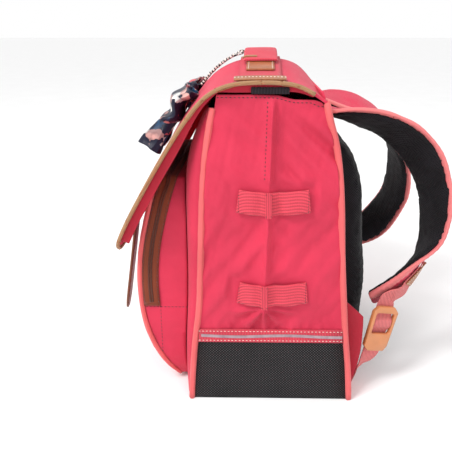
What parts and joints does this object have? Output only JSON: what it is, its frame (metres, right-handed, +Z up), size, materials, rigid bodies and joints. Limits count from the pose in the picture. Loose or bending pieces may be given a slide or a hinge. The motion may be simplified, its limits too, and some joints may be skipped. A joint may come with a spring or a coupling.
{
  "type": "school backpack",
  "caption": "Soft satchel-shaped school backpack with a stiff front flap, zip pocket, grab handle, padded shoulder straps and a tied scarf.",
  "frame": {"origin": "middle of the base, on the surface that the bag stands on", "axes": "+Z up, the flap and pocket at -Y, the shoulder straps at +Y, the wearer's right at +X"},
  "size_m": [0.3164, 0.3859, 0.3946],
  "materials": {
    "coral_cloth": "woven polyester",
    "coral_lip": "woven polyester, shaded red",
    "light_piping": "piping tape",
    "coral_webbing": "ribbed webbing",
    "black_base": "coated dotted base cloth",
    "black_mesh": "padded spacer mesh",
    "black_webbing": "ribbed webbing",
    "tan_binding": "stitched binding tape",
    "tan_leather": "smooth, stitched",
    "brown_leather": "smooth, cut edges",
    "zip_tape": "zip tape with coil",
    "buckle_plastic": "moulded, satin",
    "scarf_satin": "printed satin",
    "speckled_cord": "black and white braid"
  },
  "bodies": {
    "root": {"bottom_panel": "black_base", "base_side_right": "black_base", "base_side_left": "black_base", "front_panel": "coral_cloth", "back_panel": "coral_cloth", "side_panel_right": "coral_cloth", "side_panel_left": "coral_cloth", "pocket_gusset": "coral_cloth", "pocket_face": "coral_cloth", "flap_panel": "coral_cloth", "shoulder_strap_right": "coral_cloth", "shoulder_strap_left": "coral_cloth", "wing_right": "coral_cloth", "wing_left": "coral_cloth", "reflective_band_right": "coral_webbing", "reflective_band_left": "coral_webbing", "handle_base_strip": "coral_webbing", "handle_grip": "coral_webbing", "side_loop_upper_right": "coral_webbing", "side_loop_upper_left": "coral_webbing", "side_loop_lower_right": "coral_webbing", "side_loop_lower_left": "coral_webbing", "keeper_upper_right": "coral_webbing", "keeper_upper_left": "coral_webbing", "keeper_lower_right": "coral_webbing", "keeper_lower_left": "coral_webbing", "upper_webbing_right": "coral_webbing", "upper_webbing_left": "coral_webbing", "lower_webbing_right": "coral_webbing", "lower_webbing_left": "coral_webbing", "front_piping_right": "light_piping", "front_piping_left": "light_piping", "back_piping_right": "light_piping", "back_piping_left": "light_piping", "pocket_piping": "light_piping", "zip_tape": "zip_tape", "flap_lip_right": "coral_lip", "flap_lip_left": "coral_lip", "lip_webbing_right": "black_webbing", "lip_webbing_left": "black_webbing", "flap_binding": "tan_binding", "handle_tip_right": "tan_leather", "handle_tip_left": "tan_leather", "strap_patch_right": "tan_leather", "strap_patch_left": "tan_leather", "handle_anchor_right": "brown_leather", "handle_anchor_left": "brown_leather", "closure_strap_right": "brown_leather", "closure_strap_left": "brown_leather", "scarf_knot": "scarf_satin", "scarf_loop_right": "scarf_satin", "scarf_loop_left": "scarf_satin", "scarf_tail_right": "scarf_satin", "scarf_tail_left": "scarf_satin", "scarf_cord": "speckled_cord", "back_pad": "black_mesh", "strap_mesh_right": "black_mesh", "strap_mesh_left": "black_mesh", "buckle_right": "buckle_plastic", "buckle_left": "buckle_plastic"}
  },
  "joints": []
}
